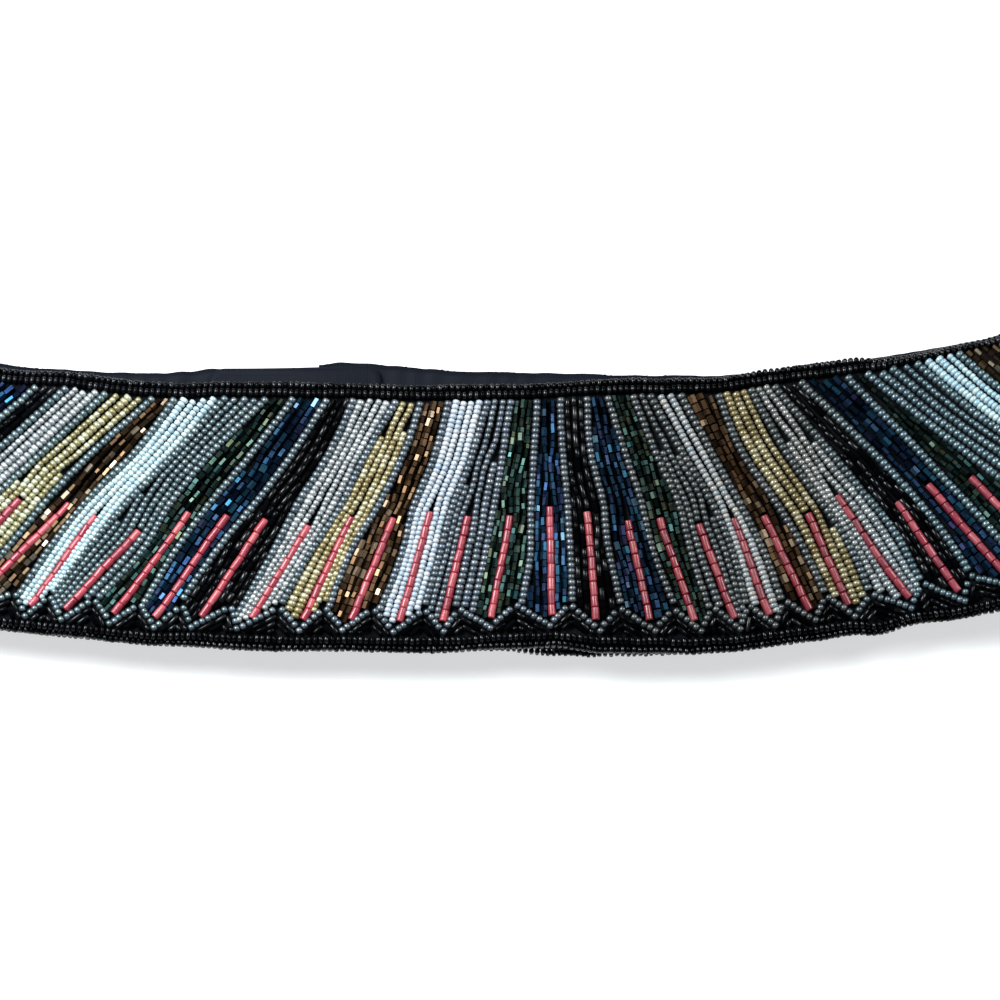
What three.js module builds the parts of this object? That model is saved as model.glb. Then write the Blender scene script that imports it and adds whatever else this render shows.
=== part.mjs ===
// Beaded waist belt, fastened into a loop and laid flat on its back layer.
// Millimetres, +Z up, +X along the belt, -Y towards the belt's lower edge.
import * as THREE from 'three';

// ---------------------------------------------------------------- driving dimensions
const CONTOUR_R = 760;      // radius of the contour cut at mid-width, its centre on the +Y side
const HALF_FLAT = 172;      // from the middle of the belt to where each fold begins
const FOLD_R = 7.5;         // inside radius of the two end folds
const LAYER = 5.0;          // thickness of one layer, lining to bead tops
const GAP_MID = 2.0;        // between the two linings in the middle
const RISE_FROM = 118;      // the upper layer starts to lift towards the fold here
const END_1 = -43.8;        // the strip's two ends on the lower layer
const END_2 = -29.5;

// heights in one layer, from the lining's inner face outwards
const LINING_H = [0.0, 1.0];
const BACKING_H = [1.3, 2.9];
const BEADS_H = [3.2, 5.0];
const STRUNG_H = 4.1;       // the strands' middle, where length along the belt is measured

// places across the belt, from mid-width, minus towards the upper edge
const REACH = 34.8;         // half of the belt's full width
const LINING = { from: -34.4, to: 32.3 };
const BACKING = { from: -32.45, to: 31.1 };
const FIELD_TOP = -30.25;   // the bead field's straight upper edge
const VALLEY = 22.8;        // where the field's lower outline turns up between two fans
const TIP = 28.2;           // where each fan's point ends
const SEAM = 0.42;          // across-belt gap between the field and the black beads below it
const BORDER_END = 29.1;    // the black beads' lower edge
const FACE_STRAND = { upper: -31.6, lower: 30.4, h: 4.05, r: 0.95, sides: 6 };
const RIM_STRAND = { upper: -33.8, lower: 32.42, h: 2.65, halfWidth: 1.0, halfHeight: 1.35 };

// the closure's tab: satin, on the lining side, bridging the gap between the ends
const TAB = { from: -58, to: -13, upper: [-37.6, -40.6], lower: 27.2, z: [5.35, 6.45], corner: 4 };

// ---------------------------------------------------------------- short tables
// The fans along the upper layer, as arc length at mid-width: where each one's
// point is, and the valley between it and the next fan towards +X. 'fan' counts
// from the middle black fan, minus towards -X.
const FANS = [
  { fan: -14, tip: -118.5, valley: -110.0 }, { fan: -13, tip: -107.8, valley: -98.6 },
  { fan: -12, tip: -95.2, valley: -90.3 }, { fan: -11, tip: -86.6, valley: -79.7 },
  { fan: -10, tip: -75.2, valley: -68.8 }, { fan: -9, tip: -64.8, valley: -58.8 },
  { fan: -8, tip: -56.0, valley: -47.1 }, { fan: -7, tip: -45.2, valley: -35.6 },
  { fan: -6, tip: -30.5, valley: -25.0 }, { fan: -5, tip: -20.3, valley: -13.5 },
  { fan: -4, tip: -8.2, valley: -1.2 }, { fan: -3, tip: 3.1, valley: 6.9 },
  { fan: -2, tip: 14.3, valley: 20.4 }, { fan: -1, tip: 28.2, valley: 33.4 },
  { fan: 0, tip: 40.0, valley: 45.0 }, { fan: 1, tip: 53.0, valley: 57.9 },
  { fan: 2, tip: 63.8, valley: 67.3 }, { fan: 3, tip: 72.9, valley: 75.6 },
  { fan: 4, tip: 81.2, valley: 84.2 }, { fan: 5, tip: 90.8, valley: 94.1 },
  { fan: 6, tip: 100.1, valley: 104.9 }, { fan: 7, tip: 113.6, valley: 117.3 },
  { fan: 8, tip: 126.9, valley: 129.2 }, { fan: 9, tip: 140.0, valley: 142.3 },
];
const FAN_PITCH = 11.2;     // beyond the table, all the way round

// The upper layer's two edges wander a little from the contour arcs.
const UPPER_EDGES = [
  { s: -200, upper: 1.6, lower: 1.2 }, { s: -150, upper: 2.2, lower: 1.8 }, { s: -108, upper: 3.6, lower: 2.9 },
  { s: -93, upper: 2.4, lower: 2.8 }, { s: -78, upper: 2.8, lower: 2.2 }, { s: -66, upper: 2.45, lower: 2.4 },
  { s: -52, upper: 1.1, lower: 1.4 }, { s: -36, upper: 0.3, lower: 1.1 }, { s: -20, upper: 0, lower: 0.5 },
  { s: -4, upper: 0.4, lower: 0.65 }, { s: 6, upper: 0.2, lower: 0.5 }, { s: 16, upper: 0.2, lower: -0.4 },
  { s: 29, upper: 0.35, lower: -0.5 }, { s: 42, upper: 0, lower: 1.6 }, { s: 52, upper: 0.2, lower: 2.4 },
  { s: 62, upper: 0.9, lower: 3.4 }, { s: 74, upper: 1.7, lower: 3.7 }, { s: 88, upper: 1.0, lower: 3.6 },
  { s: 98, upper: 0.9, lower: 3.5 }, { s: 106, upper: 0.75, lower: 4.8 }, { s: 114, upper: 0.95, lower: 3.75 },
  { s: 125, upper: 0.25, lower: 4.4 }, { s: 133, upper: 0.25, lower: 4.25 }, { s: 147, upper: 0.9, lower: 3.7 },
  { s: 200, upper: 1.1, lower: 3.2 },
];
// The lower layer lies shifted across the upper one, each of its two lengths on its own.
const SHIFT_END_2 = [
  { s: -29.5, upper: -6.1, lower: -1.3 }, { s: -24, upper: -7.0, lower: -1.5 }, { s: -17, upper: -6.9, lower: -1.7 },
  { s: -10, upper: -6.4, lower: -1.7 }, { s: 0, upper: -5.6, lower: -1.7 }, { s: 8, upper: -4.85, lower: -1.8 },
  { s: 16, upper: -4.7, lower: -1.7 }, { s: 28, upper: -4.1, lower: 0 }, { s: 40, upper: -3.45, lower: 0.95 },
  { s: 50, upper: -2.4, lower: 1.2 }, { s: 62, upper: -1.5, lower: 1.2 }, { s: 76, upper: -0.25, lower: 0.9 },
  { s: 100, upper: 0.1, lower: 0.1 }, { s: 147, upper: 0, lower: -0.1 }, { s: 172, upper: 0, lower: 0 },
];
const SHIFT_END_1 = [
  { s: -172, upper: 0, lower: 0 }, { s: -150, upper: 0.3, lower: 0 }, { s: -106, upper: 1.0, lower: 0.1 },
  { s: -94, upper: 0.2, lower: 0 }, { s: -86, upper: -0.15, lower: -0.1 }, { s: -78, upper: -0.75, lower: -0.3 },
  { s: -71, upper: -1.3, lower: -0.4 }, { s: -64, upper: -2.35, lower: -0.5 }, { s: -57, upper: -3.65, lower: -0.7 },
  { s: -50, upper: -4.1, lower: -0.9 }, { s: -43.8, upper: -3.8, lower: -1.0 },
];

function along(table, s, column) {
  if (s <= table[0].s) return table[0][column];
  for (let i = 1; i < table.length; i++) {
    const a = table[i - 1], b = table[i];
    if (s <= b.s) {
      const t = (s - a.s) / (b.s - a.s);
      const e = t * t * (3 - 2 * t);
      return a[column] + (b[column] - a[column]) * e;
    }
  }
  return table[table.length - 1][column];
}

// ---------------------------------------------------------------- the loop's path
// Each station holds a point of the lining's inner face, the direction out of
// the layer, and how the layer is shifted across the belt there.
function lift(s) {
  const t = Math.min(1, Math.max(0, (Math.abs(s) - RISE_FROM) / (HALF_FLAT - RISE_FROM)));
  return GAP_MID + (2 * FOLD_R - GAP_MID) * (0.5 - 0.5 * Math.cos(Math.PI * t));
}
function slope(s) {
  const d = 0.01;
  return (lift(s + d) - lift(s - d)) / (2 * d);
}
function evenly(from, to, step) {
  const n = Math.max(1, Math.round(Math.abs(to - from) / step));
  return Array.from({ length: n + 1 }, (_, i) => from + (to - from) * i / n);
}

const stations = [];
function addStation(s, z, ns, nz, shift) {
  const last = stations[stations.length - 1];
  if (last && Math.hypot(last.s - s, last.z - z) < 1e-6) return;
  const u = last ? last.u + Math.hypot(last.s - s + STRUNG_H * (last.ns - ns), last.z - z + STRUNG_H * (last.nz - nz)) : 0;
  stations.push({ s, z, ns, nz, shift, u });
}
const backRight = [...evenly(END_2, 40, 8.7), ...evenly(40, 110, 14), ...evenly(110, HALF_FLAT, 16)];
for (const s of backRight) {
  addStation(s, LAYER, 0, -1, { upper: along(SHIFT_END_2, s, 'upper'), lower: along(SHIFT_END_2, s, 'lower') });
}
const FOLD_STEPS = 8;
for (let i = 1; i < FOLD_STEPS; i++) {
  const a = -Math.PI / 2 + Math.PI * i / FOLD_STEPS;
  addStation(HALF_FLAT + FOLD_R * Math.cos(a), LAYER + FOLD_R + FOLD_R * Math.sin(a),
    Math.cos(a), Math.sin(a), { upper: 0, lower: 0 });
}
const front = [...evenly(HALF_FLAT, RISE_FROM, 7.4), ...evenly(RISE_FROM, -RISE_FROM, 11), ...evenly(-RISE_FROM, -HALF_FLAT, 7.4)];
for (const s of front) {
  const k = slope(s), n = Math.hypot(1, k);
  const fade = Math.min(1, Math.max(0, (HALF_FLAT - Math.abs(s)) / 25));
  addStation(s, LAYER + lift(s), -k / n, 1 / n,
    { upper: fade * along(UPPER_EDGES, s, 'upper'), lower: fade * along(UPPER_EDGES, s, 'lower') });
}
for (let i = 1; i < FOLD_STEPS; i++) {
  const a = Math.PI / 2 + Math.PI * i / FOLD_STEPS;
  addStation(-HALF_FLAT + FOLD_R * Math.cos(a), LAYER + FOLD_R + FOLD_R * Math.sin(a),
    Math.cos(a), Math.sin(a), { upper: 0, lower: 0 });
}
const backLeft = [...evenly(-HALF_FLAT, -106, 16.5), ...evenly(-106, END_1, 9)];
for (const s of backLeft) {
  addStation(s, LAYER, 0, -1, { upper: along(SHIFT_END_1, s, 'upper'), lower: along(SHIFT_END_1, s, 'lower') });
}
const LENGTH = stations[stations.length - 1].u;

function onContour(s, across, z) {
  const a = s / CONTOUR_R, r = CONTOUR_R + across;
  return new THREE.Vector3(r * Math.sin(a), CONTOUR_R - r * Math.cos(a), z);
}
function atStation(st, across, h) {
  const t = (across + REACH) / (2 * REACH);
  const moved = across + st.shift.upper * (1 - t) + st.shift.lower * t;
  return onContour(st.s + h * st.ns, moved, st.z + h * st.nz);
}
// A point at path length u, 'across' from mid-width and 'h' out from the lining's inner face.
function place(u, across, h) {
  let i = 1;
  while (i < stations.length - 1 && stations[i].u < u) i++;
  const a = stations[i - 1], b = stations[i];
  const t = Math.min(1, Math.max(0, (u - a.u) / (b.u - a.u)));
  return atStation(a, across, h).lerp(atStation(b, across, h), t);
}
const stops = stations.map((st) => st.u);

// ---------------------------------------------------------------- solids along the path
// section(u) gives the [across, h] corners, counter-clockwise seen against the path.
function sweep(us, section) {
  const rings = us.map((u) => section(u).map(([across, h]) => place(u, across, h)));
  const n = rings[0].length;
  const points = rings.flat();
  const index = [];
  for (let i = 0; i + 1 < rings.length; i++) {
    for (let j = 0; j < n; j++) {
      const a = i * n + j, b = i * n + (j + 1) % n;
      index.push(a, b, b + n, a, b + n, a + n);
    }
  }
  const last = (rings.length - 1) * n;
  for (let j = 1; j + 1 < n; j++) {
    index.push(0, j + 1, j);
    index.push(last, last + j, last + j + 1);
  }
  const geometry = new THREE.BufferGeometry();
  geometry.setAttribute('position', new THREE.Float32BufferAttribute(points.flatMap((p) => [p.x, p.y, p.z]), 3));
  geometry.setIndex(index);
  geometry.computeVertexNormals();
  return geometry;
}
const band = (from, to, [low, high]) => () => [[from, low], [to, low], [to, high], [from, high]];
function roundSection(across, h, rx, ry, sides) {
  const corners = Array.from({ length: sides }, (_, i) => {
    const a = 2 * Math.PI * (i + 0.5) / sides;
    return [across + rx * Math.cos(a) / Math.cos(Math.PI / sides), h + ry * Math.sin(a) / (sides === 8 ? Math.cos(Math.PI / sides) : 1)];
  });
  return () => corners;
}

// ---------------------------------------------------------------- the fans' lower outline
const pathOf = (s) => {            // path length at place s of the upper layer
  for (let i = 1; i < stations.length; i++) {
    const a = stations[i - 1], b = stations[i];
    if (a.nz > 0 && b.nz > 0 && a.s >= s && b.s <= s && Math.abs(a.s) <= HALF_FLAT && Math.abs(b.s) <= HALF_FLAT) {
      return a.u + (b.u - a.u) * (a.s - s) / (a.s - b.s);
    }
  }
  throw new Error('no place ' + s);
};
const outline = [];                // {u, across}, points and valleys in turn, along the path
for (const row of FANS.slice().reverse()) {
  outline.push({ u: pathOf(row.valley), across: VALLEY }, { u: pathOf(row.tip), across: TIP });
}
while (outline[0].u > FAN_PITCH) {
  const u = outline[0].u;
  outline.unshift({ u: u - FAN_PITCH, across: VALLEY }, { u: u - FAN_PITCH * 0.8, across: TIP });
}
outline.unshift({ u: 0, across: VALLEY });
while (outline[outline.length - 1].u < LENGTH - FAN_PITCH) {
  const u = outline[outline.length - 1].u;
  outline.push({ u: u + FAN_PITCH * 0.3, across: VALLEY }, { u: u + FAN_PITCH, across: TIP });
}
outline.push({ u: LENGTH, across: VALLEY });
for (const p of outline) {         // a corner close to a station sits on it
  const near = stops.find((u) => Math.abs(u - p.u) < 0.9);
  if (near !== undefined && outline.every((q) => q.u !== near)) p.u = near;
}
function fanEdge(u) {
  for (let i = 1; i < outline.length; i++) {
    const a = outline[i - 1], b = outline[i];
    if (u <= b.u) return a.across + (b.across - a.across) * (u - a.u) / (b.u - a.u);
  }
  return VALLEY;
}
const fanStops = [...outline.map((p) => p.u)];
for (const u of stops) if (!fanStops.includes(u)) fanStops.push(u);
fanStops.sort((a, b) => a - b);

// ---------------------------------------------------------------- the closure's tab
function tabGeometry() {
  const { from, to, upper, lower, z, corner } = TAB;
  const rows = [
    { s: from, cut: corner }, { s: from + corner * 0.3, cut: corner * 0.3 }, { s: from + corner, cut: 0 },
    { s: (from + to) / 2, cut: 0 },
    { s: to - corner, cut: 0 }, { s: to - corner * 0.3, cut: corner * 0.3 }, { s: to, cut: corner },
  ];
  const points = [];
  for (const row of rows) {
    const edge = upper[0] + (upper[1] - upper[0]) * (row.s - from) / (to - from);
    for (const [across, height] of [[edge + row.cut, z[0]], [edge + row.cut, z[1]], [lower - row.cut, z[1]], [lower - row.cut, z[0]]]) {
      points.push(onContour(row.s, across, height));
    }
  }
  const index = [];
  const n = 4;
  for (let i = 0; i + 1 < rows.length; i++) {
    for (let j = 0; j < n; j++) {
      const a = i * n + j, b = i * n + (j + 1) % n;
      index.push(a, b, b + n, a, b + n, a + n);
    }
  }
  const last = (rows.length - 1) * n;
  for (let j = 1; j + 1 < n; j++) {
    index.push(0, j + 1, j);
    index.push(last, last + j, last + j + 1);
  }
  const geometry = new THREE.BufferGeometry();
  geometry.setAttribute('position', new THREE.Float32BufferAttribute(points.flatMap((p) => [p.x, p.y, p.z]), 3));
  geometry.setIndex(index);
  geometry.computeVertexNormals();
  return geometry;
}

// ---------------------------------------------------------------- assembly
const finish = (color, roughness, metalness = 0) => new THREE.MeshStandardMaterial({ color, roughness, metalness });
const group = new THREE.Group();
function add(name, geometry, material) {
  const mesh = new THREE.Mesh(geometry, material);
  mesh.name = name;
  group.add(mesh);
}

add('lining', sweep(stops, band(LINING.from, LINING.to, LINING_H)), finish(0x10131d, 0.45));
add('backing_cloth', sweep(stops, band(BACKING.from, BACKING.to, BACKING_H)), finish(0x0b0b0d, 0.95));
add('bead_field', sweep(fanStops, (u) => band(FIELD_TOP, fanEdge(u), BEADS_H)(u)), finish(0x4a4f55, 0.3, 0.4));
add('black_bead_border', sweep(fanStops, (u) => band(fanEdge(u) + SEAM, BORDER_END, BEADS_H)(u)), finish(0x0a0a0c, 0.25));
for (const [side, across] of [['upper', FACE_STRAND.upper], ['lower', FACE_STRAND.lower]]) {
  add(`${side}_edge_face_beads`, sweep(stops, roundSection(across, FACE_STRAND.h, FACE_STRAND.r * 0.96, FACE_STRAND.r, FACE_STRAND.sides)),
    finish(0x15161a, 0.25));
}
for (const [side, across] of [['upper', RIM_STRAND.upper], ['lower', RIM_STRAND.lower]]) {
  add(`${side}_edge_rim_beads`, sweep(stops, roundSection(across, RIM_STRAND.h, RIM_STRAND.halfWidth, RIM_STRAND.halfHeight, 8)),
    finish(0x15161a, 0.25));
}
add('closure_tab', tabGeometry(), finish(0x10131d, 0.45));

// the origin is under the middle of the whole belt, on the surface that it lies on
const size = new THREE.Box3().setFromObject(group);
group.position.set(-(size.min.x + size.max.x) / 2, -(size.min.y + size.max.y) / 2, -size.min.z);

export default group;
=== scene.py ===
import math

import bpy
import numpy as np
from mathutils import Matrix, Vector


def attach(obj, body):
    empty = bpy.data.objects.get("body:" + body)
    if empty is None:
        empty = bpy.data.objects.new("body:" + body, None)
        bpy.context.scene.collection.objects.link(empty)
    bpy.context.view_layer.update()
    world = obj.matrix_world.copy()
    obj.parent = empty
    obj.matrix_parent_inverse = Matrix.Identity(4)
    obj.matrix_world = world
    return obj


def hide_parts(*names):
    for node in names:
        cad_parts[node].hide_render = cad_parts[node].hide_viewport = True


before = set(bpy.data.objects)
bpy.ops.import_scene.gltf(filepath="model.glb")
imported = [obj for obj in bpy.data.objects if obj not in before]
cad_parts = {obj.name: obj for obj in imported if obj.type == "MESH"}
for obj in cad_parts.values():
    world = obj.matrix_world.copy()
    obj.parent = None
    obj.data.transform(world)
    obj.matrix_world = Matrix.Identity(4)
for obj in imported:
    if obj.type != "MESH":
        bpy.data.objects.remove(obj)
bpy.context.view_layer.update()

MM = 0.001
rng = np.random.default_rng(5066)

# ------------------------------------------------------------------ the belt's sizes, in millimetres
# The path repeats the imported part's: an arc of radius CONTOUR_R, two layers, two end folds.
CONTOUR_R = 760.0
HALF_FLAT = 172.0
FOLD_R = 7.5
LAYER = 5.0
GAP_MID = 2.0
RISE_FROM = 118.0
END_1, END_2 = -43.8, -29.5
STRUNG_H = 4.1
REACH = 34.8
ROW_Y = -10.760054
LINING = (-34.3, 32.2)  # each cloth, from its upper edge to its lower one
GROUND = (-32.2, 30.9)
FIELD_TOP = -30.5
VALLEY, TIP = 22.3, 27.9
BORDER_END = 29.2
FAN_PITCH = 11.2

UPPER_EDGES = [  # the upper layer: place, its upper edge's shift, its lower edge's
    (-200, 1.6, 1.2), (-150, 2.2, 1.8), (-108, 3.6, 2.9), (-93, 2.4, 2.8), (-78, 2.8, 2.2), (-66, 2.45, 2.4),
    (-52, 1.1, 1.4), (-36, 0.3, 1.1), (-20, 0, 0.5), (-4, 0.4, 0.65), (6, 0.2, 0.5), (16, 0.2, -0.4),
    (29, 0.35, -0.5), (42, 0, 1.6), (52, 0.2, 2.4), (62, 0.9, 3.4), (74, 1.7, 3.7), (88, 1.0, 3.6),
    (98, 0.9, 3.5), (106, 0.75, 4.8), (114, 0.95, 3.75), (125, 0.25, 4.4), (133, 0.25, 4.25), (147, 0.9, 3.7), (200, 1.1, 3.2),
]
TUCKS = [  # how far the upper layer's rims curl in: place, at the lower edge, at the upper edge
    (-200, 1.3, 0), (-99, 1.4, 0), (-87, 1.5, 0), (-75, 1.0, 0), (-63, 1.05, 0), (-51, 0.5, 0), (-39, 0.35, 0),
    (8, 0.4, 0), (18, 0, 0), (70, 0, 0), (78.5, 0.45, 0), (90, 0.6, 0), (102, 1.1, 0), (111, 1.5, 0), (118, 1.65, 1.0),
    (125, 1.6, 1.7), (138, 1.3, 1.9), (147, 1.3, 2.1), (200, 0.5, 0.5),
]
SHIFT_END_2 = [  # the lower layer's right length, in the same columns
    (-29.5, -6.1, -1.3), (-24, -7.0, -1.5), (-17, -6.9, -1.7), (-10, -6.4, -1.7), (0, -5.6, -1.7), (8, -4.85, -1.8),
    (16, -4.7, -1.7), (28, -4.1, 0), (40, -3.45, 0.95), (50, -2.4, 1.2), (62, -1.5, 1.2), (76, -0.25, 0.9),
    (100, 0.1, 0.1), (147, 0, -0.1), (172, 0, 0),
]
SHIFT_END_1 = [  # and its left length
    (-172, 0, 0), (-150, 0.3, 0), (-106, 1.0, 0.1), (-94, 0.2, 0), (-86, -0.15, -0.1), (-78, -0.75, -0.3),
    (-71, -1.3, -0.4), (-64, -2.35, -0.5), (-57, -3.65, -0.7), (-50, -4.1, -0.9), (-43.8, -3.8, -1.0),
]

# Between each fan and the next one towards +X runs a single grey strand. Its place
# along the belt at five levels across it.
STRIPE_LEVELS = (-26, -15, -3.5, 8, 20)
STRIPES = [
    (-17, -105.2, -114.6, -124.0, -133.0, -142.0), (-16, -97.5, -107.0, -116.0, -125.0, -134.0),
    (-15, -86.8, -95.9, -105.6, -113.8, -121.8), (-14, -74.9, -84.7, -93.0, -100.0, -107.4),
    (-13, -68.0, -74.8, -83.8, -90.6, -96.3), (-12, -56.2, -65.2, -74.2, -81.8, -88.7),
    (-11, -46.0, -56.0, -64.1, -69.1, -77.4), (-10, -38.1, -45.7, -54.2, -61.3, -67.0),
    (-9, -28.9, -35.4, -43.2, -51.4, -58.2), (-8, -21.4, -26.1, -32.8, -37.7, -43.4),
    (-7, -11.1, -16.9, -21.8, -28.6, -34.6), (-6, -3.7, -7.4, -12.8, -19.1, -23.2),
    (-5, 3.7, 0.7, -4.1, -6.6, -10.8), (-4, 13.6, 10.2, 5.6, 2.6, -0.8),
    (-3, 20.1, 18.1, 16.0, 13.7, 11.0), (-2, 27.1, 26.1, 25.0, 24.5, 22.4),
    (-1, 33.5, 33.4, 34.0, 34.1, 34.0), (0, 40.3, 40.6, 42.8, 43.4, 45.3),
    (1, 46.6, 49.4, 52.2, 54.1, 57.6), (2, 53.4, 57.1, 61.3, 63.1, 65.7),
    (3, 58.5, 63.9, 69.4, 73.1, 74.8), (4, 66.3, 71.1, 76.0, 80.2, 83.1),
    (5, 75.1, 78.5, 84.2, 89.6, 93.4), (6, 84.2, 88.7, 94.6, 100.5, 104.1),
    (7, 91.3, 98.4, 105.9, 112.3, 116.4), (8, 98.9, 107.8, 115.9, 123.3, 128.9),
    (9, 110.4, 118.4, 126.5, 133.9, 140.6), (10, 116.5, 126.8, 137.2, 146.4, 154.0),
    (11, 130.0, 139.0, 149.0, 157.0, 165.0),
]
# Where each fan's red strand starts, along and across, and where it ends at RED_END.
RED_END = 25.4
REDS = {
    -14: (-100.9, -1.3, -118.8), -13: (-88.8, -1.2, -108.3), -12: (-81.9, 1.2, -94.6), -11: (-71.0, 3.9, -86.3),
    -10: (-59.1, -1.3, -74.8), -9: (-49.7, -0.4, -64.9), -8: (-40.4, 0.4, -54.1), -7: (-29.7, 1.8, -42.3),
    -6: (-19.0, -0.5, -30.0), -5: (-8.9, -0.7, -18.6), -4: (0.2, -2.3, -7.2), -3: (9.3, -0.9, 3.2),
    -2: (19.7, -0.4, 14.5), -1: (29.6, -2.4, 29.0), 0: (38.7, -1.5, 39.4), 1: (48.6, 0.8, 52.1),
    2: (56.4, 0.2, 62.7), 3: (65.8, 1.8, 72.2), 4: (74.3, 0.7, 80.3), 5: (81.7, 1.1, 90.0), 6: (92.4, 1.9, 99.3),
    7: (100.1, -1.7, 113.8), 8: (114.6, 2.0, 126.1), 9: (123.3, -1.0, 138.8),
}
# Each fan's point, and the valley between it and the next fan.
VEES = {
    -14: (-118.5, -110.0), -13: (-107.8, -98.6), -12: (-95.2, -90.3), -11: (-86.6, -79.7), -10: (-75.2, -68.8),
    -9: (-64.8, -58.8), -8: (-56.0, -47.1), -7: (-45.2, -35.6), -6: (-30.5, -25.0), -5: (-20.3, -13.5), -4: (-8.2, -1.2),
    -3: (3.1, 6.9), -2: (14.3, 20.4), -1: (28.2, 33.4), 0: (40.0, 45.0), 1: (53.0, 57.9), 2: (63.8, 67.3),
    3: (72.9, 75.6), 4: (81.2, 84.2), 5: (90.8, 94.1), 6: (100.1, 104.9), 7: (113.6, 117.3), 8: (126.9, 129.2), 9: (140.0, 142.3),
}
CYCLE = ["black", "blue", "green", "grey", "white", "bronze", "gold", "silver"]


def table_at(rows, s, column=1):
    xs = np.array([r[0] for r in rows], float)
    ys = np.array([r[column] for r in rows], float)
    s = np.clip(s, xs[0], xs[-1])
    i = np.clip(np.searchsorted(xs, s) - 1, 0, len(xs) - 2)
    t = (s - xs[i]) / (xs[i + 1] - xs[i])
    return ys[i] + (ys[i + 1] - ys[i]) * t * t * (3 - 2 * t)


# ------------------------------------------------------------------ the path round the loop
def lift(s):
    t = np.clip((abs(s) - RISE_FROM) / (HALF_FLAT - RISE_FROM), 0, 1)
    return GAP_MID + (2 * FOLD_R - GAP_MID) * (0.5 - 0.5 * np.cos(np.pi * t))


def make_path():
    rows = []  # place, height, normal, shift of the upper and the lower edge, tuck of the lower and the upper rim
    for s in np.arange(END_2, HALF_FLAT, 1.0):
        rows.append((s, LAYER, 0, -1, table_at(SHIFT_END_2, s, 1), table_at(SHIFT_END_2, s, 2), 0, 0))
    for a in np.linspace(-np.pi / 2, np.pi / 2, 41):
        rows.append((HALF_FLAT + FOLD_R * np.cos(a), LAYER + FOLD_R * (1 + np.sin(a)), np.cos(a), np.sin(a), 0, 0, 0, 0))
    for s in np.arange(HALF_FLAT - 1, -HALF_FLAT, -1.0):
        k = (lift(s + 0.01) - lift(s - 0.01)) / 0.02
        n, fade = math.hypot(1, k), min(1, max(0, (HALF_FLAT - abs(s)) / 25))
        moved = [fade * table_at(table, s, i) for table, i in ((UPPER_EDGES, 1), (UPPER_EDGES, 2), (TUCKS, 1), (TUCKS, 2))]
        rows.append((s, LAYER + lift(s), -k / n, 1 / n, *moved))
    for a in np.linspace(np.pi / 2, 1.5 * np.pi, 41):
        rows.append((-HALF_FLAT + FOLD_R * np.cos(a), LAYER + FOLD_R * (1 + np.sin(a)), np.cos(a), np.sin(a), 0, 0, 0, 0))
    for s in [*np.arange(-HALF_FLAT + 1, END_1, 1.0), END_1]:
        rows.append((s, LAYER, 0, -1, table_at(SHIFT_END_1, s, 1), table_at(SHIFT_END_1, s, 2), 0, 0))
    p = np.array(rows, float)
    step = np.diff(p, axis=0)
    u = np.concatenate([[0], np.cumsum(np.hypot(step[:, 0] + STRUNG_H * step[:, 2], step[:, 1] + STRUNG_H * step[:, 3]))])
    front = p[:, 3] > 0.5
    front &= abs(p[:, 0]) <= HALF_FLAT
    middle = np.interp(0, -p[front, 0], u[front])
    return (middle - u)[::-1], p[::-1], (p[front, 0][::-1], (middle - u)[front][::-1])


SIGMA, PATH, FRONT = make_path()  # sigma is the length along the belt, 0 in the front's middle and + towards +X
SIGMA_LOW, SIGMA_HIGH = float(SIGMA[0]), float(SIGMA[-1])


def place(sigma, across, h):
    """Points in the row's frame, in millimetres."""
    s, z, ns, nz, up, low, tuck_low, tuck_up = (np.interp(sigma, SIGMA, PATH[:, i]) for i in range(8))
    inward = tuck_low * np.clip((across - 29.4) / 3, 0, 1) - tuck_up * np.clip((-30.6 - across) / 3, 0, 1)
    across, h = across - inward, h - 0.3 * abs(inward)
    long = np.hypot(ns, nz)
    ns, nz = ns / long, nz / long
    t = (across + REACH) / (2 * REACH)
    a = (s + h * ns) / CONTOUR_R
    r = CONTOUR_R + across + up * (1 - t) + low * t
    return np.stack(np.broadcast_arrays(r * np.sin(a), CONTOUR_R - r * np.cos(a) + ROW_Y, z + h * nz), -1)


def on_front(s):
    return float(np.interp(s, FRONT[0], FRONT[1]))


# ------------------------------------------------------------------ bead shapes
def lathe(profile, sides):
    """A closed turned shape along Z from (z, radius) rows: vertices, faces, and each face's corners on a 0..1 square."""
    verts, faces, uvs = [], [], []
    for z, r in profile:
        for i in range(sides):
            a = 2 * math.pi * i / sides
            verts.append((r * math.cos(a), r * math.sin(a), z))
    rows = len(profile)
    for j in range(rows - 1):
        for i in range(sides):
            k = (i + 1) % sides
            faces.append((j * sides + i, j * sides + k, (j + 1) * sides + k, (j + 1) * sides + i))
            u0, u1, v0, v1 = i / sides, (i + 1) / sides, 0.78 * j / (rows - 1), 0.78 * (j + 1) / (rows - 1)
            uvs.append([(u0, v0), (u1, v0), (u1, v1), (u0, v1)])
    for end, order in ((0, range(sides - 1, -1, -1)), (rows - 1, range(sides))):
        faces.append(tuple(end * sides + i for i in order))
        mid = 0.25 if end == 0 else 0.75
        uvs.append([(mid + 0.09 * math.cos(2 * math.pi * i / sides), 0.89 + 0.09 * math.sin(2 * math.pi * i / sides)) for i in order])
    return np.array(verts, float), faces, uvs


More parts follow.
